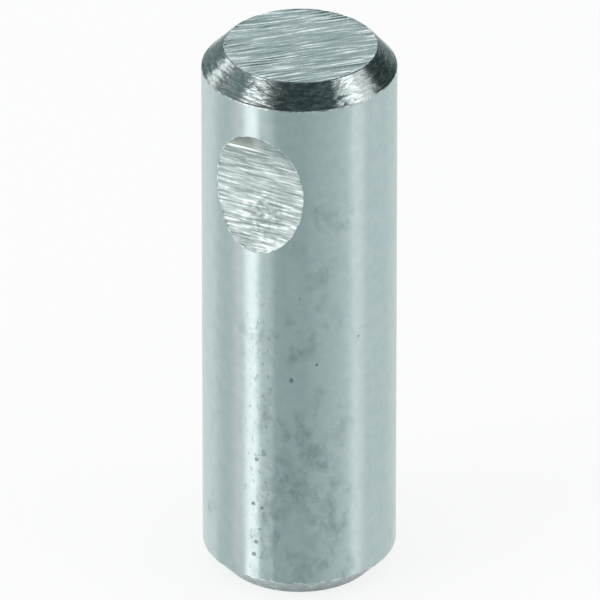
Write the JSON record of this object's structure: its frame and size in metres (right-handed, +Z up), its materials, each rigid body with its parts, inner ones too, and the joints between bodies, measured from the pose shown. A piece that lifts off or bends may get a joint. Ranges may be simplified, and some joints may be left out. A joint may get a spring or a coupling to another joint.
{
  "type": "bearing pin",
  "caption": "Solid round steel bearing pin, bevelled at both ends, with a shallow locking recess milled across its side near one end.",
  "frame": {"origin": "centre of the pin's lower end face, on the surface it stands on", "axes": "+Z up the pin's axis towards the end with the recess, -Y out of the recess"},
  "size_m": [0.02, 0.02, 0.06],
  "materials": {
    "steel": "bare steel: wall ground round, end faces sawn, bevels turned, recess milled"
  },
  "bodies": {
    "root": {"bearing_pin": "steel"}
  },
  "joints": []
}
